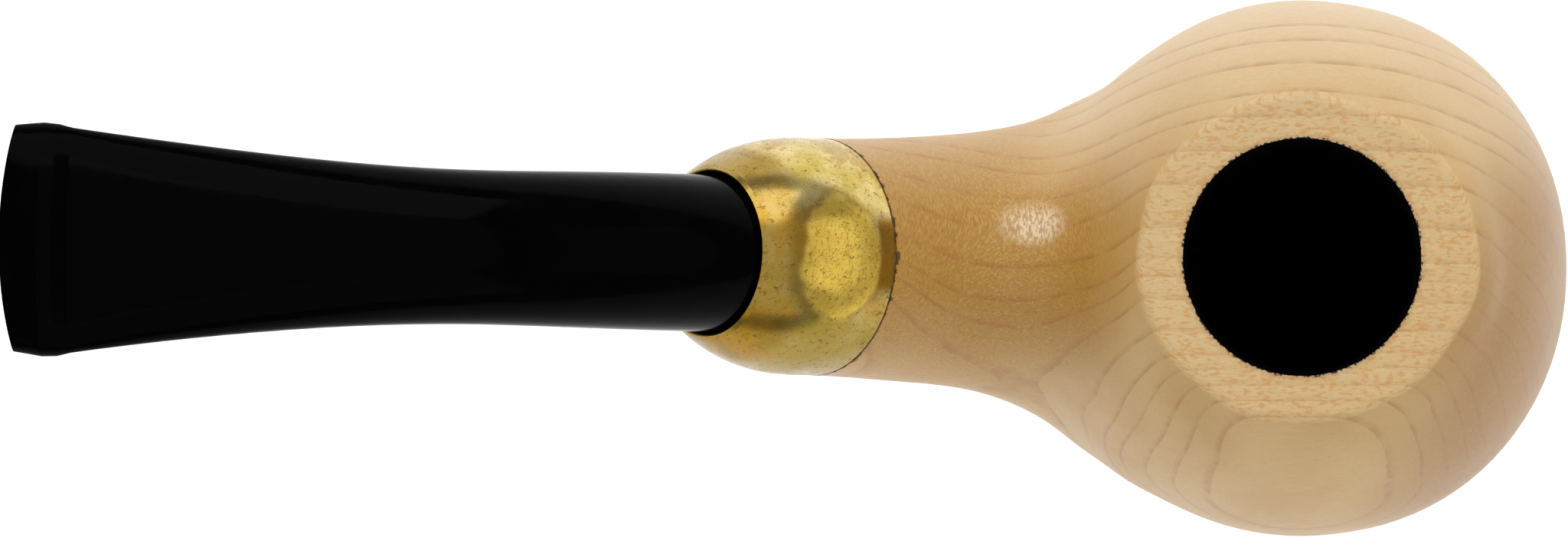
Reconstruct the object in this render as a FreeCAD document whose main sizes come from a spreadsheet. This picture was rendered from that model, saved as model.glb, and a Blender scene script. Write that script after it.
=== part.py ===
import FreeCAD, Part
import os

import Sketcher
from FreeCAD import Placement, Rotation, Vector

# A full-bent smoking pipe with a push-fit ("army") stem.
#
# One piece of maple, the stummel, is both bowl and shank. The bowl is a low-bellied egg, bored straight
# down for the tobacco chamber, and the shank rises from its foot at a steep angle. A turned brass ferrule
# is glued over the end of the shank. The black stem has a tapered tenon that pushes into the mortise in
# the shank, and then bends until it is nearly level and widens into a flat bit with a raised button.
# A 9 mm charcoal filter sits half in the tenon and half in a well at the end of the mortise.
#
# Frame: millimetres, +Z up along the chamber, the stem towards -X, and the origin where the chamber's
# axis meets the plane of the rim.
#
# The shank has an axis of its own, through the middle of the ferrule's mouth. A distance along it is
# called v: zero at the mouth, positive outwards into the stem, and negative into the wood.

DIMENSIONS = {
    # bowl
    "chamber_radius": 9.5,
    "chamber_depth": 39.5,
    "chamber_corner": 5.0,
    "coating_thickness": 0.35,
    "rim_radius": 13.2,
    "rim_rounding": 1.1,
    "belly_radius": 22.0,
    "belly_drop": 27.0,
    # shank axis: how steep it is, and where the middle of the ferrule's mouth lies
    "shank_angle": 44.0,
    "mouth_reach": 47.5,
    "mouth_rise": 0.7,
    "junction_blend": 9.0,
    # ferrule and the wooden spigot inside it
    "ferrule_radius": 9.57,
    "ferrule_length": 11.6,
    "ferrule_dome_radius": 16.0,
    "ferrule_dome_length": 9.0,
    "ferrule_lip_radius": 0.32,
    "ferrule_bore_radius": 6.42,
    "ferrule_end_wall": 3.8,
    "ferrule_seat_radius": 8.7,
    "ferrule_seat_end_radius": 7.8,
    "ferrule_seat_taper": 8.0,
    "glue_gap": 0.1,
    "glue_line": 0.25,
    # mortise and airway in the wood
    "mortise_length": 20.0,
    "mortise_clearance": 0.04,
    "well_radius": 4.75,
    "well_end": 33.0,
    "well_tip": 35.0,
    "draught_radius": 2.0,
    "draught_end": 55.0,
    # stem
    "tenon_length": 19.0,
    "tenon_root_radius": 6.25,
    "tenon_end_radius": 5.75,
    "tenon_chamfer": 0.3,
    "collar_length": 3.0,
    "bend_radius": 58.0,
    "bit_droop": 5.0,
    "bit_straight": 7.1,
    "bit_end_radius": 38.0,
    "filter_bore_radius": 4.55,
    "filter_bore_end": 7.5,
    "filter_bore_tip": 9.0,
    # filter
    "filter_radius": 4.5,
    "filter_wall": 0.3,
    "filter_cap_fit": 0.02,
    "filter_inner_end": 31.5,
    "filter_outer_end": 7.0,
    "filter_flange": 1.0,
    "filter_plug": 4.5,
    "ceramic_hole_radius": 0.5,
    "ceramic_inner_ring": 1.55,
    "ceramic_outer_ring": 3.1,
    "plastic_hole_radius": 0.7,
    "plastic_ring": 2.6,
}

# Sections of the wooden shank: depth from the mouth, half-width, and reach above and below the axis.
SHANK_SECTIONS = [
    (11.85, 9.58, 9.56, 9.56),
    (20.0, 9.90, 9.70, 9.60),
    (28.0, 10.6, 10.1, 9.60),
    (36.0, 12.35, 11.2, 9.53),
    (44.0, 15.0, 12.7, 9.25),
    (52.0, 13.3, 12.8, 8.80),
    (60.0, 9.50, 10.5, 7.00),
]

# Sections of the stem: slope of the centreline in degrees, half-width, half-thickness, and how far the
# section lies past the end of the bend. The first is just inside the ferrule, before the bend begins.
STEM_SECTIONS = [
    (44.0, 6.30, 6.28, -4.0),
    (44.0, 6.28, 6.26, 0.0),
    (34.0, 6.20, 5.75, 0.0),
    (24.0, 6.12, 4.95, 0.0),
    (14.0, 6.55, 4.05, 0.0),
    (4.0, 7.50, 3.20, 0.0),
    (-5.0, 8.64, 2.45, 0.0),
    (-5.0, 8.85, 2.25, 1.5),
]

# Sections of the button, which is joined to the last of the sections above by flat slopes.
BUTTON_SECTIONS = [
    (-5.0, 9.12, 2.95, 2.6),
    (-5.0, 9.15, 2.98, 3.8),
    (-5.0, 8.60, 2.35, 7.1),
]

# Sections of the airway through the stem, which widens into a flat slot at the button.
AIRWAY_SECTIONS = [
    (44.0, 1.81, 1.79, 0.0),
    (34.0, 1.76, 1.74, 0.0),
    (24.0, 1.71, 1.69, 0.0),
    (14.0, 1.66, 1.60, 0.0),
    (4.0, 1.90, 1.35, 0.0),
    (-5.0, 3.00, 1.00, 0.0),
    (-5.0, 4.60, 0.75, 8.1),
]

doc = FreeCAD.newDocument("BentPipe")
sheet = doc.addObject("Spreadsheet::Sheet", "dims")


def fill_sheet():
    """Writes every driving dimension to a cell of its own, with its name as the cell's alias."""
    for row, (name, value) in enumerate(DIMENSIONS.items(), 1):
        sheet.set(f"A{row}", name)
        sheet.set(f"B{row}", str(value))
        sheet.setAlias(f"B{row}", name)
    doc.recompute()


def number(expression):
    """The value that an expression over the sheet has now, as a plain number."""
    found = sheet.evalExpression(str(expression))
    return float(getattr(found, "Value", found))


def dim(text):
    """Spells out the sheet's name before each alias in an expression."""
    words, out = "", ""
    for letter in str(text) + " ":
        if letter.isalnum() or letter == "_":
            words += letter
            continue
        out += f"dims.{words}" if words in DIMENSIONS else words
        out += letter
        words = ""
    return out.strip()


def new_body(label):
    body = doc.addObject("PartDesign::Body", label)
    body.Label = label
    return body


def origin_plane(body, role):
    return next(f for f in body.Origin.OriginFeatures if f.Role == role)


def new_sketch(body, name, role):
    sketch = body.newObject("Sketcher::SketchObject", name)
    sketch.AttachmentSupport = [(origin_plane(body, role), "")]
    sketch.MapMode = "FlatFace"
    return sketch


def turn_to_shank(sketch):
    """Turns a sketch on the XZ plane until its vertical axis runs out along the shank's axis."""
    sketch.setExpression("AttachmentOffset.Base.x", dim("-mouth_reach"))
    sketch.setExpression("AttachmentOffset.Base.y", dim("mouth_rise"))
    turn = Rotation(Vector(0, 0, 1), 90 - number(dim("shank_angle")))
    sketch.AttachmentOffset = Placement(Vector(), turn)
    sketch.setExpression("AttachmentOffset.Rotation.Angle", dim("90 - shank_angle"))


def place_on_shank(body):
    """Puts a body modelled round its own Z axis onto the shank's axis, with its origin at the mouth."""
    body.Placement = Placement(Vector(), Rotation(Vector(0, 1, 0), number(dim("shank_angle")) - 90))
    body.setExpression("Placement.Base.x", dim("-mouth_reach"))
    body.setExpression("Placement.Base.z", dim("mouth_rise"))
    body.setExpression("Placement.Rotation.Angle", dim("shank_angle - 90"))


def pin_point(sketch, geometry, end, point, name):
    """Fixes one end of a line or arc at a point given as two expressions. None leaves a coordinate free."""
    for kind, axis, text in (("DistanceX", -2, point[0]), ("DistanceY", -1, point[1])):
        if text is None:
            continue
        if text == "0":
            sketch.addConstraint(Sketcher.Constraint("PointOnObject", geometry, end, axis))
            continue
        index = sketch.addConstraint(Sketcher.Constraint(kind, geometry, end, number(dim(text))))
        sketch.renameConstraint(index, f"{name}_{kind[-1].lower()}")
        sketch.setExpression(f"Constraints.{name}_{kind[-1].lower()}", dim(text))


def draw_outline(sketch, points, arcs=()):
    """Draws a closed outline through points, which are pairs of expressions, and pins each point and centre.

    arcs maps the number of a side to (centre, clockwise, guess): the centre's two expressions, the way round,
    and numbers to start from where an expression is None.
    """
    arcs = dict(arcs)
    guesses = {}
    for _, _, guess in arcs.values():
        guesses.update(guess)
    spots = [
        Vector(*(guesses[(i, k)] if p[k] is None else number(dim(p[k])) for k in (0, 1)), 0)
        for i, p in enumerate(points)
    ]
    ends = []
    for side, start in enumerate(spots):
        stop = spots[(side + 1) % len(spots)]
        if side not in arcs:
            geometry = sketch.addGeometry(Part.LineSegment(start, stop), False)
            ends.append((geometry, 1, 2))
            continue
        centre, clockwise, guess = arcs[side]
        middle = Vector(
            *(guess["centre"][k] if centre[k] is None else number(dim(centre[k])) for k in (0, 1)), 0
        )
        circle = Part.Circle(middle, Vector(0, 0, 1), start.distanceToPoint(middle))
        first, last = (stop, start) if clockwise else (start, stop)
        arc = Part.ArcOfCircle(circle, circle.parameter(first), circle.parameter(last))
        geometry = sketch.addGeometry(arc, False)
        ends.append((geometry, 2, 1) if clockwise else (geometry, 1, 2))
        pin_point(sketch, geometry, 3, centre, f"centre{side}")
    for side, (geometry, _, stop_end) in enumerate(ends):
        following, start_end, _ = ends[(side + 1) % len(ends)]
        sketch.addConstraint(Sketcher.Constraint("Coincident", geometry, stop_end, following, start_end))
    for side, (geometry, start_end, _) in enumerate(ends):
        pin_point(sketch, geometry, start_end, points[side], f"point{side}")


def turned(body, name, points, arcs=(), cut=False, on_shank=False):
    """A solid or a cut made by turning an outline on the XZ plane round the sketch's vertical axis."""
    sketch = new_sketch(body, f"{name}_outline", "XZ_Plane")
    if on_shank:
        turn_to_shank(sketch)
    draw_outline(sketch, points, arcs)
    kind = "PartDesign::Groove" if cut else "PartDesign::Revolution"
    feature = body.newObject(kind, name)
    feature.Profile = sketch
    feature.ReferenceAxis = (sketch, ["V_Axis"])
    feature.Angle = 360
    doc.recompute()
    return feature


def oval_section(body, name, x, z, slope, half_width, up, down):
    """An ellipse across the shank or stem, at (x, 0, z), square to a centreline that rises at slope degrees.

    Its long axis is along Y, and it reaches up and down by different amounts from the centreline.
    """
    sketch = new_sketch(body, name, "XY_Plane")
    sketch.AttachmentOffset = Placement(Vector(), Rotation(Vector(0, 1, 0), number(slope) - 90))
    sketch.setExpression("AttachmentOffset.Base.x", x)
    sketch.setExpression("AttachmentOffset.Base.z", z)
    sketch.setExpression("AttachmentOffset.Rotation.Angle", f"{slope} - 90")
    rise = (up + down) / 2
    shift = (up - down) / 2
    middle = Vector(shift, 0, 0)
    ellipse = Part.Ellipse(middle + Vector(0, half_width, 0), middle - Vector(rise, 0, 0), middle)
    curve = sketch.addGeometry(ellipse, False)
    sketch.exposeInternalGeometry(curve)
    major, minor = curve + 1, curve + 2
    sketch.addConstraint(Sketcher.Constraint("Vertical", major))
    sketch.addConstraint(Sketcher.Constraint("PointOnObject", curve, 3, -1))
    if shift:
        sketch.addConstraint(Sketcher.Constraint("DistanceX", curve, 3, shift))
    else:
        sketch.addConstraint(Sketcher.Constraint("PointOnObject", curve, 3, -2))
    sketch.addConstraint(Sketcher.Constraint("Distance", major, 1, major, 2, 2 * half_width))
    sketch.addConstraint(Sketcher.Constraint("Distance", minor, 1, minor, 2, 2 * rise))
    return sketch


def loft(body, name, sections, cut=False, ruled=False):
    feature = body.newObject("PartDesign::SubtractiveLoft" if cut else "PartDesign::AdditiveLoft", name)
    feature.Profile = sections[0]
    feature.Sections = sections[1:]
    feature.Ruled = ruled
    doc.recompute()
    return feature


def round_edges(body, name, base, chosen, radius):
    """A PartDesign fillet on those edges of a feature's shape for which chosen(edge) is true."""
    names = [f"Edge{i}" for i, edge in enumerate(base.Shape.Edges, 1) if chosen(edge)]
    if not names:
        raise RuntimeError(f"{name}: no edge to round")
    fillet = body.newObject("PartDesign::Fillet", name)
    fillet.Base = (base, names)
    fillet.setExpression("Radius", dim(radius))
    doc.recompute()
    return fillet


def on_chamber_axis(edge, radius, height):
    """True for a circle of that radius round the chamber's axis, at that height."""
    if edge.Degenerated or not isinstance(edge.Curve, Part.Circle):
        return False
    return abs(edge.Curve.Radius - radius) < 0.01 and abs(edge.Curve.Center.z - height) < 0.01


def draught_hole(body, name):
    """Cuts the narrow airway from the end of the filter well to the foot of the chamber."""
    points = [
        ("0", "-well_end"),
        ("draught_radius", "-well_end"),
        ("draught_radius", "-draught_end"),
        ("0", "-draught_end"),
    ]
    return turned(body, name, points, cut=True, on_shank=True)


def chamber_outline(inset):
    """Points and arc of the chamber's outline, inset by an expression from the wood's own surface."""
    corner_x = "chamber_radius - chamber_corner"
    corner_z = "chamber_corner - chamber_depth"
    wall = f"chamber_radius - {inset}"
    floor = f"{inset} - chamber_depth"
    return wall, floor, (corner_x, corner_z)


def stummel():
    """Bowl and shank in one piece of maple, with the chamber, the spigot, the mortise and the airway."""
    body = new_body("stummel")
    turned(
        body,
        "bowl",
        [("0", "0"), ("rim_radius", "0"), ("belly_radius", "-belly_drop"), ("0", None)],
        {
            1: ((None, "-belly_drop"), True, {"centre": (-23.6, 0)}),
            2: (("0", "-belly_drop"), True, {(3, 1): -number(dim("belly_drop + belly_radius"))}),
        },
    )
    sections = [
        oval_section(
            body,
            f"shank_{i}",
            dim(f"{depth} * cos(shank_angle) - mouth_reach"),
            dim(f"mouth_rise - {depth} * sin(shank_angle)"),
            dim("shank_angle"),
            half_width,
            up,
            down,
        )
        for i, (depth, half_width, up, down) in enumerate(SHANK_SECTIONS)
    ]
    shank = loft(body, "shank", sections)
    junction = round_edges(body, "junction", shank, is_junction, "junction_blend")
    round_edges(
        body,
        "rim",
        junction,
        lambda edge: on_chamber_axis(edge, number(dim("rim_radius")), 0),
        "rim_rounding",
    )
    turned(
        body,
        "spigot",
        [
            ("0", "-ferrule_length - 1"),
            ("ferrule_seat_radius - glue_gap", "-ferrule_length - 1"),
            ("ferrule_seat_radius - glue_gap", "-ferrule_seat_taper"),
            ("ferrule_seat_end_radius - glue_gap", "-ferrule_end_wall - glue_gap"),
            ("0", "-ferrule_end_wall - glue_gap"),
        ],
        on_shank=True,
    )
    wall, floor, (corner_x, corner_z) = chamber_outline("0")
    turned(
        body,
        "chamber",
        [("0", "1"), (wall, "1"), (wall, corner_z), (corner_x, floor), ("0", floor)],
        {2: ((None, corner_z), True, {"centre": (number(dim(corner_x)), 0)})},
        cut=True,
    )
    mouth = "tenon_root_radius + mortise_clearance"
    turned(
        body,
        "mortise",
        [
            ("0", "0"),
            (mouth, "0"),
            ("tenon_end_radius + mortise_clearance", "-mortise_length"),
            ("well_radius", "-mortise_length"),
            ("well_radius", "-well_end"),
            ("draught_radius", "-well_tip"),
            ("0", "-well_tip"),
        ],
        cut=True,
        on_shank=True,
    )
    draught_hole(body, "draught")
    return body


def is_junction(edge):
    """True for the edges along which the shank's loft meets the bowl's turned surface."""
    return not edge.Degenerated and isinstance(edge.Curve, Part.BSplineCurve) and edge.BoundBox.XMin > -30


def bowl_coating():
    """The black carbon coating that is painted on the chamber's wall and floor."""
    body = new_body("bowl_coating")
    outer, floor, corner = chamber_outline("0")
    inner, inner_floor, _ = chamber_outline("coating_thickness")
    turned(
        body,
        "coat",
        [
            (inner, "0"),
            (outer, "0"),
            (outer, corner[1]),
            (corner[0], floor),
            ("0", floor),
            ("0", inner_floor),
            (corner[0], inner_floor),
            (inner, corner[1]),
        ],
        {
            2: ((None, corner[1]), True, {"centre": (number(dim(corner[0])), 0)}),
            6: ((None, corner[1]), False, {"centre": (number(dim(corner[0])), 0)}),
        },
    )
    draught_hole(body, "draught_in_coating")
    return body


def ferrule():
    """The brass cap over the end of the shank: a tube that domes in to a thick, rounded mouth."""
    body = new_body("ferrule")
    lip_x = "ferrule_bore_radius + ferrule_lip_radius"
    lip_z = "-ferrule_lip_radius"
    dome_x = "ferrule_radius - ferrule_dome_radius"
    turned(
        body,
        "cap",
        [
            ("ferrule_radius", "-ferrule_length"),
            ("ferrule_radius", "-ferrule_dome_length"),
            (None, lip_z),
            (lip_x, "0"),
            ("ferrule_bore_radius", lip_z),
            ("ferrule_bore_radius", "-ferrule_end_wall"),
            ("ferrule_seat_end_radius", "-ferrule_end_wall"),
            ("ferrule_seat_radius", "-ferrule_seat_taper"),
            ("ferrule_seat_radius", "-ferrule_length"),
        ],
        {
            1: ((dome_x, "-ferrule_dome_length"), False, {(2, 0): 7.03}),
            3: ((None, lip_z), False, {"centre": (number(dim(lip_x)), 0)}),
        },
    )
    place_on_shank(body)
    return body


def ferrule_glue():
    """The cured glue that holds the ferrule: a thin sleeve on the spigot, and the line seen at the joint."""
    body = new_body("ferrule_glue")
    inner = "ferrule_seat_radius - glue_gap"
    turned(
        body,
        "film",
        [
            (inner, "-ferrule_length - glue_line"),
            ("ferrule_radius - glue_gap", "-ferrule_length - glue_line"),
            ("ferrule_radius - glue_gap", "-ferrule_length"),
            ("ferrule_seat_radius", "-ferrule_length"),
            ("ferrule_seat_radius", "-ferrule_seat_taper"),
            (inner, "-ferrule_seat_taper"),
        ],
    )
    place_on_shank(body)
    return body


def stem_section(body, name, slope, half_width, half_thickness, beyond):
    """A section of the stem or its airway, where the centreline slopes at slope degrees."""
    x = (
        "-mouth_reach - collar_length * cos(shank_angle)"
        f" - bend_radius * (sin(shank_angle) - sin({slope})) - {beyond} * cos({slope})"
    )
    z = (
        "mouth_rise + collar_length * sin(shank_angle)"
        f" + bend_radius * (cos({slope}) - cos(shank_angle)) + {beyond} * sin({slope})"
    )
    return oval_section(body, name, dim(x), dim(z), str(slope), half_width, half_thickness, half_thickness)


def stem_loft(body, name, sections, cut=False, ruled=False):
    drawn = [stem_section(body, f"{name}_{i}", *section) for i, section in enumerate(sections)]
    return loft(body, name, drawn, cut, ruled)


def round_bit_end(body):
    """Trims the end of the button to an arc, seen from above, by cutting away what lies past the arc."""
    tip = (
        "-mouth_reach - collar_length * cos(shank_angle)"
        " - bend_radius * (sin(shank_angle) + sin(bit_droop)) - bit_straight * cos(bit_droop)"
    )
    corner = f"({tip}) + bit_end_radius - sqrt(bit_end_radius ^ 2 - 144)"
    past = f"({tip}) - 3"
    sketch = new_sketch(body, "bit_end_outline", "XY_Plane")
    draw_outline(
        sketch,
        [(corner, "12"), (past, "12"), (past, "-12"), (corner, "-12")],
        {3: ((f"{tip} + bit_end_radius", None), True, {"centre": (0, 0)})},
    )
    pocket = body.newObject("PartDesign::Pocket", "bit_end")
    pocket.Profile = sketch
    pocket.Type = "ThroughAll"
    pocket.Midplane = True
    doc.recompute()


def stem():
    """The black mouthpiece: tapered tenon, bent and flattened body, button, filter bore, airway and slot."""
    body = new_body("stem")
    turned(
        body,
        "tenon",
        [
            ("0", "-tenon_length"),
            ("tenon_end_radius - tenon_chamfer", "-tenon_length"),
            ("tenon_end_radius", "tenon_chamfer - tenon_length"),
            ("tenon_root_radius", "0"),
            ("0", "0"),
        ],
        on_shank=True,
    )
    stem_loft(body, "bend", STEM_SECTIONS)
    stem_loft(body, "button", STEM_SECTIONS[-1:] + BUTTON_SECTIONS, ruled=True)
    round_bit_end(body)
    turned(
        body,
        "filter_bore",
        [
            ("0", "-tenon_length - 1"),
            ("filter_bore_radius", "-tenon_length - 1"),
            ("filter_bore_radius", "filter_bore_end"),
            ("0", "filter_bore_tip"),
        ],
        cut=True,
        on_shank=True,
    )
    stem_loft(body, "airway", AIRWAY_SECTIONS, cut=True)
    return body


def filter_sleeve():
    """The paper tube of the filter."""
    body = new_body("filter_sleeve")
    inner = "filter_radius - filter_wall"
    low = "filter_flange - filter_inner_end"
    high = "filter_outer_end - filter_flange"
    turned(
        body,
        "tube",
        [(inner, low), ("filter_radius", low), ("filter_radius", high), (inner, high)],
    )
    place_on_shank(body)
    return body


def drill_ring(body, name, ring, radius, count):
    """Drills count holes through a cap, evenly spaced on a ring round its axis."""
    sketch = new_sketch(body, f"{name}_circle", "XY_Plane")
    place = Vector(number(dim(ring)), 0, 0) if ring else Vector()
    hole = sketch.addGeometry(Part.Circle(place, Vector(0, 0, 1), number(dim(radius))), False)
    pin_point(sketch, hole, 3, (ring or "0", "0"), "middle")
    index = sketch.addConstraint(Sketcher.Constraint("Radius", hole, number(dim(radius))))
    sketch.renameConstraint(index, "hole")
    sketch.setExpression("Constraints.hole", dim(radius))
    pocket = body.newObject("PartDesign::Pocket", name)
    pocket.Profile = sketch
    pocket.Type = "ThroughAll"
    pocket.Midplane = True
    doc.recompute()
    if count > 1:
        pattern = body.newObject("PartDesign::PolarPattern", f"{name}_pattern")
        pattern.Originals = [pocket]
        pattern.Axis = (sketch, ["N_Axis"])
        pattern.Angle = 360
        pattern.Occurrences = count
        body.Tip = pattern
        doc.recompute()


def filter_cap(label, end, flange_end, plug_end, rings):
    """A flanged plug in one end of the paper tube, drilled through with rings of holes."""
    body = new_body(label)
    plug = "filter_radius - filter_wall - filter_cap_fit"
    turned(
        body,
        f"{label}_plug",
        [
            ("0", end),
            ("filter_radius", end),
            ("filter_radius", flange_end),
            (plug, flange_end),
            (plug, plug_end),
            ("0", plug_end),
        ],
    )
    for i, (ring, radius, count) in enumerate(rings):
        drill_ring(body, f"{label}_holes_{i}", ring, radius, count)
    place_on_shank(body)
    return body


def filter_caps():
    """The ceramic cap faces the bowl, and the plastic cap faces the mouth."""
    ceramic = filter_cap(
        "filter_ceramic_cap",
        "-filter_inner_end",
        "filter_flange - filter_inner_end",
        "filter_flange + filter_plug - filter_inner_end",
        [
            (None, "ceramic_hole_radius", 1),
            ("ceramic_inner_ring", "ceramic_hole_radius", 6),
            ("ceramic_outer_ring", "ceramic_hole_radius", 12),
        ],
    )
    plastic = filter_cap(
        "filter_plastic_cap",
        "filter_outer_end",
        "filter_outer_end - filter_flange",
        "filter_outer_end - filter_flange - filter_plug",
        [(None, "plastic_hole_radius", 1), ("plastic_ring", "plastic_hole_radius", 6)],
    )
    return [ceramic, plastic]


def filter_charcoal():
    """The packed bed of charcoal between the two caps, as one plain cylinder."""
    bed = doc.addObject("Part::Cylinder", "filter_charcoal")
    bed.Label = "filter_charcoal"
    bed.setExpression("Radius", dim("filter_radius - filter_wall - filter_cap_fit"))
    caps = "2 * filter_flange + 2 * filter_plug"
    bed.setExpression("Height", dim(f"filter_inner_end + filter_outer_end - ({caps})"))
    depth = "filter_inner_end - filter_flange - filter_plug"
    bed.Placement = Placement(Vector(), Rotation(Vector(0, 1, 0), number(dim("shank_angle")) - 90))
    bed.setExpression("Placement.Base.x", dim(f"({depth}) * cos(shank_angle) - mouth_reach"))
    bed.setExpression("Placement.Base.z", dim(f"mouth_rise - ({depth}) * sin(shank_angle)"))
    bed.setExpression("Placement.Rotation.Angle", dim("shank_angle - 90"))
    return bed


def export(parts):
    """Checks every object and each part's solid, and then writes parts/LABEL.step."""
    doc.recompute()
    failed = [o.Name for o in doc.Objects if {"Invalid", "Error"} & set(o.State)]
    if failed:
        raise RuntimeError(f"failed objects: {failed}")
    os.makedirs("parts", exist_ok=True)
    for part in parts:
        shape = part.Shape
        if shape.isNull() or not shape.isValid() or not shape.Solids:
            raise RuntimeError(f"{part.Label} has no valid solid")
        shape.exportStep(f"parts/{part.Label}.step")
        box = shape.BoundBox
        print(
            f"{part.Label:20s} {len(shape.Solids)} solid  {shape.Volume:9.1f} mm3 "
            f" x {box.XMin:.2f}..{box.XMax:.2f}  y {box.YMin:.2f}..{box.YMax:.2f}"
            f"  z {box.ZMin:.2f}..{box.ZMax:.2f}"
        )


fill_sheet()
PARTS = [stummel(), bowl_coating(), ferrule(), ferrule_glue(), stem(), filter_sleeve()]
PARTS += filter_caps()
PARTS.append(filter_charcoal())
export(PARTS)
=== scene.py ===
import math

import bpy
import numpy as np
from mathutils import Matrix, Vector


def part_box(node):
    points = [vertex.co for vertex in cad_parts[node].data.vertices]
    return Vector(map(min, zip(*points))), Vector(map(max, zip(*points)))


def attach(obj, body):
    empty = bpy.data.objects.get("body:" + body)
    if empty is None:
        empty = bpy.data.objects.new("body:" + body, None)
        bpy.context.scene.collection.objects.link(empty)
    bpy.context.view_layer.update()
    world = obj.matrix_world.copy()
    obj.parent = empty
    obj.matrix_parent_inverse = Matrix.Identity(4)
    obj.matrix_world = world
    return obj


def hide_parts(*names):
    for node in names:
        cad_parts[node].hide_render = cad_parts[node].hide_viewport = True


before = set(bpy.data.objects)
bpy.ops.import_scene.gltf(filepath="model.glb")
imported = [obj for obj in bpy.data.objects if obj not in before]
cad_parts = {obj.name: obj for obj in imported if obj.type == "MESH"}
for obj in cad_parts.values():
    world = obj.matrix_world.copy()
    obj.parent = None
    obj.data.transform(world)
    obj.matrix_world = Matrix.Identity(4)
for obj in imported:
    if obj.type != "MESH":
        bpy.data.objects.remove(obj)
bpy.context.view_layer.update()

# The looks of a full-bent maple pipe. The frame's origin is the middle of the chamber's mouth, +Z points up
# out of the chamber, and the stem lies towards -X. In the comments east is +X and north is +Y. Objects, lights
# and the camera are in metres. Places in materials, and what hand_carved, hand_bent and dented take and give,
# are in mm.

MM = 0.001
SCENE = bpy.context.scene
# colours as they are, without a film's curve
SCENE.view_settings.view_transform = "Standard"

# The maple's own directions. The tree's axis, and so the fibres, run along X. The growth rings are stacked
# along RING_NORMAL, and the rays are thin ribbons that run across the rings.
RING_TILT = math.radians(22)
FIBRE = Vector((1, 0, 0))
RING_NORMAL = Vector((0, -math.cos(RING_TILT), math.sin(RING_TILT)))
TANGENT = FIBRE.cross(RING_NORMAL)
# The rays lean a little, so this is the way that their flat sides face.
RAY_FACE = Vector((-0.09, 0.45, 0.885)).normalized()

# The way out of the shank, and where on it the ferrule lies: the middle of its mouth, that point's distance
# from the origin along SHANK_OUT, and the ferrule's length.
SHANK_ANGLE = math.radians(44)
SHANK_OUT = Vector((-math.cos(SHANK_ANGLE), 0, math.sin(SHANK_ANGLE)))
FERRULE_MOUTH_CENTRE_MM = np.array([-47.5, 0.0, 0.7])
FERRULE_MOUTH_MM = 34.65
FERRULE_LENGTH_MM = 11.6

CHAMBER_RADIUS_MM = 9.5

# Where each growth ring ends, in mm along RING_NORMAL from the origin. They crowd together to the south.
RINGS_MM = [-24.5, -21.6, -19.2, -16.3, -12.6, -10.6, -7.7, -4.9, -1.9, 0.2, 1.5, 3.1, 5.5, 7.4, 8.6, 9.9]
RINGS_MM += [11.1, 12.3, 14.6]


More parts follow.
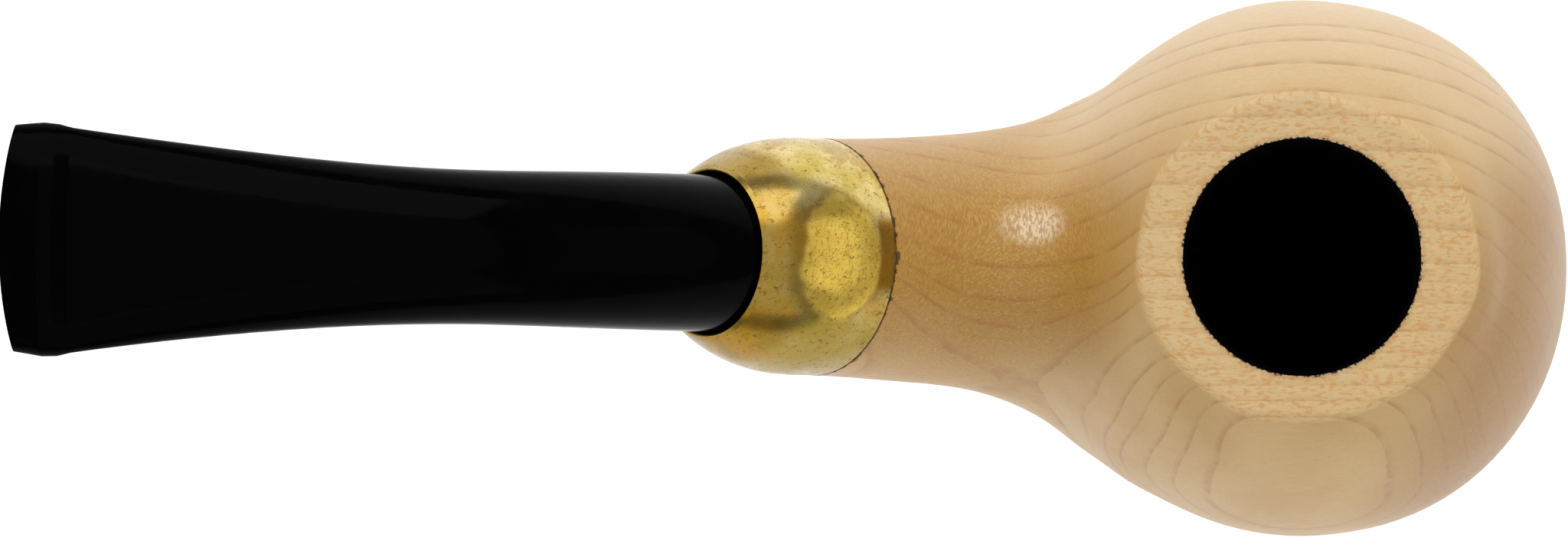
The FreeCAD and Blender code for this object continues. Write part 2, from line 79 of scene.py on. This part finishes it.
class Nodes:
    """A short way to write a node tree: each method adds a node and returns the socket that it gives."""

    def __init__(self, name):
        self.material = bpy.data.materials.new(name)
        self.material.use_nodes = True
        self.tree = self.material.node_tree
        self.tree.nodes.clear()
        output = self.tree.nodes.new("ShaderNodeOutputMaterial")
        self.shader = self.tree.nodes.new("ShaderNodeBsdfPrincipled")
        self.tree.links.new(self.shader.outputs["BSDF"], output.inputs["Surface"])
        where = self.tree.nodes.new("ShaderNodeTexCoord")
        # the point on the object in mm, and the way that its surface faces there
        self.here = self.vector("SCALE", where.outputs["Object"], scale=1 / MM)
        self.facing = where.outputs["Normal"]

    def put(self, socket, value):
        """Links a socket, or sets a constant on it."""
        if isinstance(value, bpy.types.NodeSocket):
            self.tree.links.new(value, socket)
        elif socket.type == "RGBA":
            socket.default_value = (*value[:3], 1.0)
        else:
            socket.default_value = value

    def math(self, kind, a, b=None):
        node = self.tree.nodes.new("ShaderNodeMath")
        node.operation = kind
        self.put(node.inputs[0], a)
        if b is not None:
            self.put(node.inputs[1], b)
        return node.outputs[0]

    def times(self, a, b):
        return self.math("MULTIPLY", a, b)

    def plus(self, a, b):
        return self.math("ADD", a, b)

    def vector(self, kind, a, b=None, scale=None):
        node = self.tree.nodes.new("ShaderNodeVectorMath")
        node.operation = kind
        self.put(node.inputs[0], a)
        if b is not None:
            self.put(node.inputs[1], b)
        if scale is not None:
            self.put(node.inputs["Scale"], scale)
        return node.outputs["Value" if kind in ("DOT_PRODUCT", "LENGTH") else "Vector"]

    def dot(self, a, b):
        return self.vector("DOT_PRODUCT", a, b)

    def combine(self, x, y, z):
        node = self.tree.nodes.new("ShaderNodeCombineXYZ")
        for socket, value in zip(node.inputs, (x, y, z)):
            self.put(socket, value)
        return node.outputs[0]

    def noise(self, where, scale=1.0, detail=2.0, rough=0.5, distortion=0.0):
        node = self.tree.nodes.new("ShaderNodeTexNoise")
        self.put(node.inputs["Vector"], where)
        node.inputs["Scale"].default_value = scale
        node.inputs["Detail"].default_value = detail
        node.inputs["Roughness"].default_value = rough
        node.inputs["Distortion"].default_value = distortion
        return node.outputs[0]

    def cells(self, where, scale):
        """The distance to the nearest of many scattered points."""
        node = self.tree.nodes.new("ShaderNodeTexVoronoi")
        self.put(node.inputs["Vector"], where)
        node.inputs["Scale"].default_value = scale
        return node.outputs[0]

    def span(self, value, low, high, to_low=0.0, to_high=1.0, smooth=True):
        """Maps low..high to to_low..to_high, and holds the ends. Low may be the larger of the two."""
        node = self.tree.nodes.new("ShaderNodeMapRange")
        node.interpolation_type = "SMOOTHSTEP" if smooth else "LINEAR"
        self.put(node.inputs[0], value)
        for socket, number in zip(list(node.inputs)[1:5], (low, high, to_low, to_high)):
            socket.default_value = number
        return node.outputs[0]

    def mix(self, share, a, b):
        """A colour between a and b. A plain colour is given as three numbers."""
        node = self.tree.nodes.new("ShaderNodeMix")
        node.data_type = "RGBA"
        node.clamp_factor = True
        self.put(node.inputs[0], share)
        # the node has sockets for every data type, and these are the colours
        self.put(node.inputs[6], a)
        self.put(node.inputs[7], b)
        return node.outputs[2]

    def curve(self, value, points):
        """A smooth curve through points, which run from 0 to 1 both ways."""
        node = self.tree.nodes.new("ShaderNodeFloatCurve")
        line = node.mapping.curves[0]
        for x, y in points[1:-1]:
            line.points.new(x, y)
        line.points[0].location = points[0]
        line.points[len(points) - 1].location = points[-1]
        node.mapping.update()
        self.put(node.inputs["Value"], value)
        return node.outputs[0]

    def bump(self, height, depth_mm, strength):
        node = self.tree.nodes.new("ShaderNodeBump")
        node.inputs["Strength"].default_value = strength
        node.inputs["Distance"].default_value = depth_mm * MM
        self.put(node.inputs["Height"], height)
        return node.outputs["Normal"]

    def set(self, **values):
        """Sets or links inputs of the shader: base_color=..., roughness=..., and so on."""
        for name, value in values.items():
            socket = next(s for s in self.shader.inputs if s.name.lower().replace(" ", "_") == name)
            self.put(socket, value)
        return self.material


def srgb(r, g, b):
    """A colour given as 0 to 255 in sRGB, as the linear numbers that a shader takes."""
    shares = (r / 255, g / 255, b / 255)
    return tuple(c / 12.92 if c <= 0.04045 else ((c + 0.055) / 1.055) ** 2.4 for c in shares)


def maple():
    """Oiled maple: growth rings, ray flecks and fine fibres, all cut from one block by the surface."""
    n = Nodes("maple")
    x, y, z = (n.dot(n.here, axis) for axis in ((1, 0, 0), (0, 1, 0), (0, 0, 1)))
    radius = n.vector("LENGTH", n.vector("MULTIPLY", n.here, (1, 1, 0)))
    along = n.dot(n.here, FIBRE)
    across = n.dot(n.here, RING_NORMAL)
    aside = n.dot(n.here, TANGENT)

    def grain(a, b, c, detail=2.0, rough=0.5):
        """Noise with a grains per mm along the fibres, b across the rings, and c the third way."""
        where = n.combine(n.times(along, a), n.times(across, b), n.times(aside, c))
        return n.noise(where, detail=detail, rough=rough)

    def tint(base, share, colour):
        return n.mix(share, base, srgb(*colour))

    # growth rings, a little wavy, that darken slowly to a thin line at the end of each year
    sway = n.span(grain(0.03, 0.09, 0.09, detail=0.6), 0.3, 0.7, -0.45, 0.45, smooth=False)
    ripple = n.span(grain(0.22, 0.45, 0.45, detail=1.0), 0.3, 0.7, -0.02, 0.02, smooth=False)
    depth = n.plus(n.plus(across, sway), ripple)
    low, high = RINGS_MM[0], RINGS_MM[-1]
    count = len(RINGS_MM) - 1
    points = [((ring - low) / (high - low), i / count) for i, ring in enumerate(RINGS_MM)]
    years = n.times(n.curve(n.span(depth, low, high, smooth=False), points), float(count))
    season = n.math("FRACT", years)
    line = n.times(n.span(season, 0.74, 0.97), n.span(season, 1.0, 0.97))
    line = n.times(line, n.span(grain(0.5, 0.2, 0.5), 0.35, 0.65, 0.25, 1.0))
    late = n.span(season, 0.25, 1.0)

    # ray flecks are long across the rings, short along the fibres, and thin the third way; fibres and pores
    # are long dashes along the grain
    fleck = n.span(grain(1.7, 0.5, 10.0), 0.48, 0.66)
    fine_rays = n.span(grain(4.5, 1.6, 18.0, detail=1.0), 0.44, 0.62)
    fibres = grain(0.8, 9.0, 9.0, detail=3.0, rough=0.6)
    pore = n.span(grain(1.1, 12.0, 12.0, detail=1.0), 0.66, 0.74)

    # the body is oiled and amber, most so on the shank, the saddle behind the rim and the east side, where the
    # darker amber is partly the wood's tone and partly painted shade and bounce light; the sanded rim is paler,
    # and the north side is painted paler as a sheen
    cloud = n.noise(n.here, scale=0.07, detail=3.0)
    rim = n.times(n.span(z, -0.55, -0.15), n.span(radius, 17.0, 15.5))
    east = n.span(n.plus(x, n.times(y, -0.35)), 9.0, 19.0)
    base = n.mix(n.span(cloud, 0.35, 0.65), srgb(214, 180, 118), srgb(203, 163, 96))
    saddle = n.times(n.span(x, -12.5, -18.0), n.span(n.math("ABSOLUTE", n.plus(y, 1.0)), 11.0, 5.0))
    shank = n.times(n.span(x, -15.0, -25.0), n.span(y, -8.5, -4.5, 0.68, 1.0))
    # the amber on the saddle and shank is partly the wood's tone and partly painted shade and warm bounce light
    amber_and_shade = n.math("MAXIMUM", shank, saddle)
    base = tint(base, n.times(amber_and_shade, 0.86), (173, 125, 33))
    # the east side is darkened partly by painted shade
    base = tint(base, n.times(east, 0.88), (160, 112, 30))
    base = tint(base, n.times(rim, 0.85), (232, 202, 150))
    # painted sheen: the north side is painted paler, as if more light fell on it
    base = tint(base, n.times(n.span(y, 3.0, 20.0), 0.6), (228, 202, 160))
    base = tint(base, n.times(late, 0.12), (188, 132, 70))
    base = tint(base, n.times(n.span(fibres, 0.35, 0.7), 0.20), (186, 132, 74))
    base = tint(base, n.times(fine_rays, n.span(x, -10.0, -26.0, 0.14, 0.40)), (224, 184, 112))
    base = tint(base, n.times(fleck, n.span(rim, 0.0, 1.0, 0.14, 0.58)), (214, 150, 72))
    base = tint(base, n.times(pore, 0.16), (130, 82, 40))
    base = tint(base, n.times(line, n.span(rim, 0.0, 1.0, 0.40, 0.20)), (160, 92, 30))

    # where the surface lies flat on the rays a painted highlight shows, a glint broken into pale tiles
    flat_on = n.span(n.dot(n.facing, RAY_FACE), 0.935, 1.0)
    tiles = n.span(grain(6.5, 1.8, 4.0, detail=1.0), 0.42, 0.56, 0.25, 1.0)
    painted_ray_glint = n.times(n.times(flat_on, tiles), n.span(z, -2.0, -4.0))
    base = tint(base, n.times(painted_ray_glint, 0.66), (250, 232, 200))

    # the coating's ragged edge round the mouth, and the charred start of the draught hole
    ragged = n.plus(radius, n.span(n.noise(n.here, scale=3.2, detail=4.0), 0.3, 0.7, -0.13, 0.13))
    mouth = CHAMBER_RADIUS_MM
    black = n.times(n.span(ragged, mouth + 0.12, mouth - 0.02), n.span(z, -2.0, -1.0))
    scorch = n.times(n.span(ragged, mouth + 0.6, mouth + 0.1), n.span(z, -1.0, -0.4))
    inside = n.times(n.span(z, -20.0, -22.0), n.span(z, -41.0, -40.0))
    charred = n.times(n.span(radius, 17.0, 15.0), inside)
    base = tint(base, n.times(scorch, 0.25), (150, 92, 48))
    base = n.mix(n.math("MAXIMUM", black, charred), base, (0.004, 0.003, 0.003))

    # glue and dirt in an uneven line where the wood meets the ferrule
    ferrule_edge = FERRULE_MOUTH_MM - FERRULE_LENGTH_MM
    seam = n.math("SUBTRACT", n.dot(n.here, SHANK_OUT), ferrule_edge)
    seam = n.plus(seam, n.span(n.noise(n.here, scale=1.6, detail=3.0), 0.45, 0.75, 0.0, 0.45))
    base = tint(base, n.times(n.span(seam, -0.28, -0.10), 0.85), (58, 34, 14))

    height = n.plus(n.plus(n.times(fibres, 0.6), n.times(pore, -0.5)), n.times(fleck, -0.1))
    return n.set(
        base_color=base,
        roughness=n.span(n.plus(fibres, n.times(cloud, 0.5)), 0.5, 1.0, 0.34, 0.48),
        normal=n.bump(height, 0.05, 0.25),
        specular_ior_level=0.35,
        coat_weight=0.12,
        coat_roughness=0.30,
        sheen_weight=0.10,
        sheen_roughness=0.35,
    )


def brass():
    """Hand-finished brass with patina, brown specks and fine curved scratches."""
    n = Nodes("brass")
    y = n.dot(n.here, (0, 1, 0))
    depth = n.math("SUBTRACT", n.dot(n.here, SHANK_OUT), FERRULE_MOUTH_MM)

    def hairs(directions, thin, scale, distortion, low, high):
        """Short strokes along the first direction, and thin times finer along the other two."""
        first, *others = (n.dot(n.here, direction) for direction in directions)
        where = n.combine(first, *(n.times(other, thin) for other in others))
        return n.span(n.noise(where, scale, detail=3.0, rough=0.7, distortion=distortion), low, high)

    cloud = n.noise(n.here, scale=0.35, detail=4.0, rough=0.6)
    stain = n.noise(n.here, scale=0.20, detail=6.0, rough=0.68, distortion=0.7)
    speck = n.span(n.noise(n.here, scale=2.2, detail=4.0, rough=0.75), 0.57, 0.63)
    scratch = hairs(
        [(0.9, 0.4, 0.2), (-0.4, 0.9, 0.1), (0.0, -0.2, 0.97)],
        thin=8.0, scale=0.9, distortion=1.5, low=0.57, high=0.64,
    )
    strokes = hairs(
        [(0.5, 0.8, 0.4), (0.8, -0.6, 0.2), (-0.3, 0.0, 0.95)],
        thin=5.0, scale=1.0, distortion=0.8, low=0.57, high=0.62,
    )

    # a patch on top is painted bright inside a faint crease, partly rubbed brass and partly a painted
    # highlight, and is full of
    # strokes: an oval whose middle is 6.6 mm inside the mouth and half a millimetre to the south, and which is
    # shorter along the shank
    waver = n.span(n.noise(n.here, scale=0.5, detail=1.0), 0.3, 0.7, -0.3, 0.3)
    from_middle = n.combine(n.times(n.plus(depth, 6.6), 1.35), n.plus(y, 0.5), 0.0)
    oval = n.plus(n.vector("LENGTH", from_middle), waver)
    crease = n.times(n.span(oval, 5.9, 5.4), n.span(oval, 4.8, 5.3))
    scratch = n.math("MAXIMUM", scratch, n.times(strokes, n.span(oval, 5.0, 4.0)))
    marks = n.math("MAXIMUM", speck, scratch)

    # browner to the south, darker in a ring round the mouth, and next to the wood a painted reflection of the
    # wood
    # a ring round the mouth is made darker, in colour only
    dark_mouth_ring = n.span(n.plus(depth, waver), -4.5, -2.4)
    # painted reflection of the wood: a brown band on top, next to the wood
    brown = n.span(n.plus(depth, n.times(waver, 0.3)), -9.9, -10.4)
    brown = n.times(brown, n.span(n.math("ABSOLUTE", y), 3.4, 2.4))
    patches = n.times(n.span(stain, 0.52, 0.60), n.span(oval, 4.6, 5.2, 0.25, 0.60))
    colour = n.mix(n.span(cloud, 0.35, 0.65), (0.76, 0.61, 0.26), (0.60, 0.46, 0.11))
    colour = n.mix(n.times(n.span(y, 0.0, -7.0), 0.80), colour, (0.26, 0.18, 0.022))
    colour = n.mix(n.times(dark_mouth_ring, 0.70), colour, (0.27, 0.15, 0.008))
    # painted highlight: the oval is painted bright gold, partly as rubbed brass
    colour = n.mix(n.times(n.span(oval, 5.5, 4.4), 0.92), colour, (1.0, 0.69, 0.11))
    colour = n.mix(n.times(crease, 0.35), colour, (0.36, 0.22, 0.02))
    # painted reflection: the brown band stands for the wood reflected in the brass
    colour = n.mix(n.times(brown, 0.90), colour, (0.38, 0.19, 0.012))
    colour = n.mix(patches, colour, (0.42, 0.22, 0.02))
    colour = n.mix(n.times(scratch, 0.60), colour, (0.26, 0.13, 0.02))
    colour = n.mix(n.times(speck, 0.60), colour, (0.14, 0.065, 0.012))
    return n.set(
        base_color=colour,
        metallic=1.0,
        roughness=n.plus(n.span(cloud, 0.3, 0.7, 0.16, 0.28), n.times(marks, 0.12)),
        normal=n.bump(n.plus(cloud, n.times(marks, -0.05)), 0.04, 0.3),
    )


def black_acrylic():
    """Glossy black stem with faint handling scratches."""
    n = Nodes("black_acrylic")
    smudge = n.noise(n.here, scale=0.25, detail=4.0, rough=0.6)
    hair_place = n.combine(
        n.dot(n.here, (0.95, 0.1, 0.3)),
        n.times(n.dot(n.here, (-0.1, 1.0, 0.0)), 14.0),
        n.times(n.dot(n.here, (-0.3, 0.0, 0.95)), 14.0),
    )
    hair = n.span(n.noise(hair_place, scale=0.6, detail=2.0), 0.66, 0.72)
    rough = n.plus(n.span(smudge, 0.35, 0.7, 0.07, 0.15), n.times(hair, 0.05))
    colour = n.mix(n.span(smudge, 0.3, 0.7), (0.0004, 0.0004, 0.0007), (0.0009, 0.0008, 0.0012))
    return n.set(
        base_color=colour,
        roughness=rough,
        normal=n.bump(n.plus(smudge, n.times(hair, -0.1)), 0.03, 0.15),
        specular_ior_level=0.018,
    )


def carbon():
    """The rough black coating in the chamber."""
    n = Nodes("carbon_coating")
    grit = n.noise(n.here, scale=3.0, detail=4.0, rough=0.7)
    colour = n.mix(n.span(grit, 0.4, 0.7), (0.0005, 0.0005, 0.0005), (0.0016, 0.0013, 0.0010))
    normal = n.bump(grit, 0.1, 0.6)
    return n.set(base_color=colour, roughness=0.95, normal=normal, specular_ior_level=0.03)


def glue():
    """Dark cured glue, unevenly wiped."""
    n = Nodes("glue")
    lumps = n.noise(n.here, scale=1.2, detail=3.0)
    colour = n.mix(n.span(lumps, 0.35, 0.65), srgb(70, 44, 22), srgb(120, 84, 44))
    rough = n.span(lumps, 0.3, 0.7, 0.35, 0.6)
    return n.set(base_color=colour, roughness=rough, normal=n.bump(lumps, 0.1, 0.6))


def paper():
    """The filter's paper tube, with long fibres."""
    n = Nodes("filter_paper")
    pulp = n.noise(n.here, scale=2.2, detail=5.0, rough=0.7)
    threads = n.noise(n.vector("MULTIPLY", n.here, (0.5, 6.0, 6.0)), scale=1.0)
    colour = n.mix(n.span(pulp, 0.35, 0.65), srgb(238, 234, 224), srgb(222, 216, 203))
    height = n.plus(pulp, n.times(threads, 0.2))
    return n.set(base_color=colour, roughness=0.85, normal=n.bump(height, 0.05, 0.5))


def ceramic():
    """The unglazed cap towards the bowl."""
    n = Nodes("filter_ceramic")
    grain = n.noise(n.here, scale=4.0, detail=3.0)
    colour = n.mix(n.span(grain, 0.4, 0.65), srgb(232, 226, 214), srgb(205, 198, 184))
    rough = n.span(grain, 0.3, 0.7, 0.55, 0.75)
    return n.set(base_color=colour, roughness=rough, normal=n.bump(grain, 0.04, 0.4))


def filter_plastic():
    """The blue cap towards the mouth."""
    n = Nodes("filter_plastic")
    grain = n.noise(n.here, scale=2.5, detail=3.0)
    colour = n.mix(n.span(grain, 0.35, 0.65), srgb(64, 96, 158), srgb(56, 86, 146))
    rough = n.span(grain, 0.3, 0.7, 0.32, 0.45)
    return n.set(base_color=colour, roughness=rough, normal=n.bump(grain, 0.02, 0.3))


def charcoal():
    """The filter's bed of black grains."""
    n = Nodes("charcoal")
    grains = n.cells(n.here, scale=1.6)
    colour = n.mix(n.span(grains, 0.1, 0.6), (0.012, 0.012, 0.013), (0.035, 0.034, 0.034))
    return n.set(base_color=colour, roughness=0.8, normal=n.bump(grains, 0.4, 0.8))


def smooth_step(value, low, high):
    """0 at low and 1 at high, with soft ends."""
    share = np.clip((value - low) / (high - low), 0.0, 1.0)
    return share * share * (3.0 - 2.0 * share)


def hill(value, centre, width):
    """1 at the centre, falling to 0 on both sides."""
    return np.exp(-(((value - centre) / width) ** 2))


def hand_carved(p):
    """How far hand finishing moved each point of the wood, in mm. The rim's edge is uneven and reaches further
    out to the east, and the belly is a little square there. The waist between bowl and shank is eased into a
    long curve, and its two sides are not quite alike."""
    x, y, z = p.T
    radius = np.maximum(np.hypot(x, y), 1e-6)
    angle = np.arctan2(y, x)

    east = np.maximum(np.cos(angle), 0.0) ** 2
    facets = 0.32 * np.cos(7 * angle + 0.9) + 0.22 * np.cos(11 * angle + 2.1) + 0.30 * np.cos(3 * angle - 0.6)
    rim_band = smooth_step(radius, 10.6, 12.6) * (1.0 - smooth_step(radius, 14.5, 18.5))
    edge = rim_band * smooth_step(z, -7.0, -0.6)

    # the belly's corners are 52 degrees to each side of east
    belly = smooth_step(radius, 14.0, 18.0) * hill(z, -25.0, 12.0) * smooth_step(x, 2.0, 8.0)
    degrees = np.degrees(angle)
    square = 0.28 * hill(np.abs(degrees), 52.0, 24.0) - 0.20 * hill(degrees, 0.0, 18.0)
    outwards = (0.75 * east - 0.12 + 0.30 * facets) * edge + square * belly

    north, south = smooth_step(y, 1.0, 8.0), smooth_step(-y, 1.0, 8.0)
    north_side = -0.50 * hill(x, -15.0, 7.0) * north
    south_side = (0.35 * hill(x, -27.0, 5.5) - 0.75 * hill(x, -15.8, 3.4)) * south
    waist = 0.24 * (hill(x, -16.9, 2.6) - hill(x, -20.7, 2.6)) * (north - south)
    outside = smooth_step(radius, 10.0, 14.0)
    along_y = (north_side + south_side + waist) * outside
    return np.stack([outwards * x / radius, outwards * y / radius + along_y, np.zeros_like(z)], axis=1)


def hand_bent(p):
    """The stem is drawn a little to the south halfway along, and its bit's north corner is fuller, in mm."""
    x, y, _ = p.T
    corner = 0.035 * smooth_step(-x, 97.0, 101.5) * smooth_step(y, 2.0, 8.0)
    still = np.zeros_like(x)
    return np.stack([still, -0.15 * hill(x, -66.0, 20.0) + corner * y, still], axis=1)


def dented(p):
    """Shallow dents in the ferrule, in mm."""
    dents, from_axis = 26, 9.4
    rng = np.random.default_rng(7)
    moved = np.zeros_like(p)
    out = np.array(SHANK_OUT)
    up, across = np.array([out[2], 0.0, -out[0]]), np.array([0.0, 1.0, 0.0])
    for _ in range(dents):
        turn = rng.uniform(0.0, 2.0 * math.pi)
        normal = math.cos(turn) * up + math.sin(turn) * across
        centre = FERRULE_MOUTH_CENTRE_MM - rng.uniform(2.5, 9.0) * out + from_axis * normal
        width, depth = rng.uniform(1.1, 2.3), rng.uniform(0.02, 0.07)
        near = np.exp(-np.sum((p - centre) ** 2, axis=1) / (2.0 * width**2))
        moved -= depth * near[:, None] * normal
    return moved


def reshaped(node, name, field, body, material):
    """Puts a copy of a CAD part in its place, with each point moved by field, which takes and gives mm. Its
    normals turn with it: they go by the inverse transpose of how field stretches the space round a point."""
    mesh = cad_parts[node].data.copy()
    mesh.name = name
    points = np.empty(3 * len(mesh.vertices), np.float32)
    mesh.vertices.foreach_get("co", points)
    points = points.reshape(-1, 3).astype(float) / MM
    normals = np.empty(3 * len(mesh.loops), np.float32)
    mesh.corner_normals.foreach_get("vector", normals)
    corners = np.empty(len(mesh.loops), np.int32)
    mesh.loops.foreach_get("vertex_index", corners)
    step_mm = 0.02
    slopes = [(field(points + axis) - field(points - axis)) / (2 * step_mm) for axis in step_mm * np.eye(3)]
    stretch = np.eye(3) + np.stack(slopes, axis=2)
    turned = np.einsum("nji,nj->ni", np.linalg.inv(stretch)[corners], normals.reshape(-1, 3))
    turned /= np.linalg.norm(turned, axis=1)[:, None]
    mesh.vertices.foreach_set("co", ((points + field(points)) * MM).astype(np.float32).ravel())
    mesh.normals_split_custom_set(turned)
    mesh.update()
    mesh.materials.clear()
    mesh.materials.append(material)
    piece = bpy.data.objects.new(name, mesh)
    SCENE.collection.objects.link(piece)
    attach(piece, body)
    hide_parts(node)


def paint(node, material):
    """Gives a CAD node that stays as it is a better material."""
    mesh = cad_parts[node].data
    mesh.materials.clear()
    mesh.materials.append(material)


def floor_material():
    """Pale and lit from below, so that it stays nearly white under the pipe."""
    n = Nodes("floor")
    mottle = n.noise(n.here, scale=0.014, detail=3.0)
    colour = n.mix(mottle, (0.38, 0.38, 0.38), (0.42, 0.42, 0.42))
    return n.set(
        base_color=colour,
        roughness=0.9,
        specular_ior_level=0.2,
        emission_color=(1.0, 1.0, 1.0),
        emission_strength=0.85,
    )


def make_floor():
    """A plain pale sheet just below the bowl, like the top of a light table."""
    half, gap = 8.0, 0.0002
    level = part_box("stummel")[0].z - gap
    mesh = bpy.data.meshes.new("floor")
    corners = [(-half, -half, level), (half, -half, level), (half, half, level), (-half, half, level)]
    mesh.from_pydata(corners, [], [(0, 1, 2, 3)])
    mesh.materials.append(floor_material())
    floor = bpy.data.objects.new("floor", mesh)
    SCENE.collection.objects.link(floor)


def area_light(name, place, size, power, colour=(1.0, 1.0, 1.0)):
    """A soft box that is aimed at the middle of the pipe. Its size is in metres, and its power in watts."""
    middle = Vector((-0.04, 0.0, -0.01))
    data = bpy.data.lights.new(name, "AREA")
    data.shape = "RECTANGLE"
    data.size, data.size_y = size
    data.energy = power
    data.color = colour
    light = bpy.data.objects.new(name, data)
    light.location = place
    light.rotation_euler = (middle - Vector(place)).to_track_quat("-Z", "Y").to_euler()
    SCENE.collection.objects.link(light)


def make_lights():
    """A broad soft ceiling, soft boxes to the north, south and east, and softly lit walls all round."""
    area_light("north_box", (-0.10, 0.55, 0.42), size=(0.9, 0.5), power=2.7, colour=(1.0, 0.99, 0.97))
    area_light("south_box", (-0.05, -0.60, 0.45), size=(0.9, 0.5), power=0.9)
    area_light("east_box", (0.60, 0.0, 0.33), size=(0.8, 0.38), power=0.42)
    area_light("ceiling", (-0.04, 0.0, 1.5), size=(2.2, 2.2), power=8.5)
    # the walls are brighter to the east, and plain white where the camera sees them
    world = bpy.data.worlds.new("studio")
    world.use_nodes = True
    tree = world.node_tree
    split = tree.nodes.new("ShaderNodeSeparateXYZ")
    tree.links.new(tree.nodes.new("ShaderNodeTexCoord").outputs["Generated"], split.inputs[0])
    fade = tree.nodes.new("ShaderNodeMapRange")
    tree.links.new(split.outputs["X"], fade.inputs[0])
    for socket, value in zip(list(fade.inputs)[1:5], (-1.0, 1.0, 0.18, 0.36)):
        socket.default_value = value
    seen = tree.nodes.new("ShaderNodeMath")
    seen.operation = "MAXIMUM"
    tree.links.new(fade.outputs[0], seen.inputs[0])
    tree.links.new(tree.nodes.new("ShaderNodeLightPath").outputs["Is Camera Ray"], seen.inputs[1])
    tree.links.new(seen.outputs[0], tree.nodes["Background"].inputs["Strength"])
    tree.nodes["Background"].inputs["Color"].default_value = (1.0, 1.0, 1.0, 1.0)
    SCENE.world = world


def make_camera():
    """The photograph's view: straight down on the bowl, from a little to one side."""
    place = Vector((-0.0040, -0.0311, 0.9))
    aim = Vector((-0.04134, -0.00125, 0.0))
    roll = math.radians(0.49)
    data = bpy.data.cameras.new("camera")
    data.sensor_width = 36.0
    data.lens = 258.96
    data.clip_start, data.clip_end = 0.01, 10.0
    camera = bpy.data.objects.new("camera", data)
    forward = (aim - place).normalized()
    right = forward.cross(Vector((0, 1, 0))).normalized()
    up = right.cross(forward)
    turned_right = math.cos(roll) * right + math.sin(roll) * up
    turned_up = -math.sin(roll) * right + math.cos(roll) * up
    axes = Matrix((turned_right, turned_up, -forward)).transposed()
    camera.matrix_world = Matrix.Translation(place) @ axes.to_4x4()
    SCENE.collection.objects.link(camera)
    SCENE.camera = camera


make_camera()
make_floor()
make_lights()
reshaped("stummel", "carved_stummel", hand_carved, "bowl_and_shank", maple())
paint("bowl_coating", carbon())
reshaped("ferrule", "dented_ferrule", dented, "bowl_and_shank", brass())
paint("ferrule_glue", glue())
reshaped("stem", "bent_stem", hand_bent, "mouthpiece", black_acrylic())
paint("filter_sleeve", paper())
paint("filter_ceramic_cap", ceramic())
paint("filter_plastic_cap", filter_plastic())
paint("filter_charcoal", charcoal())
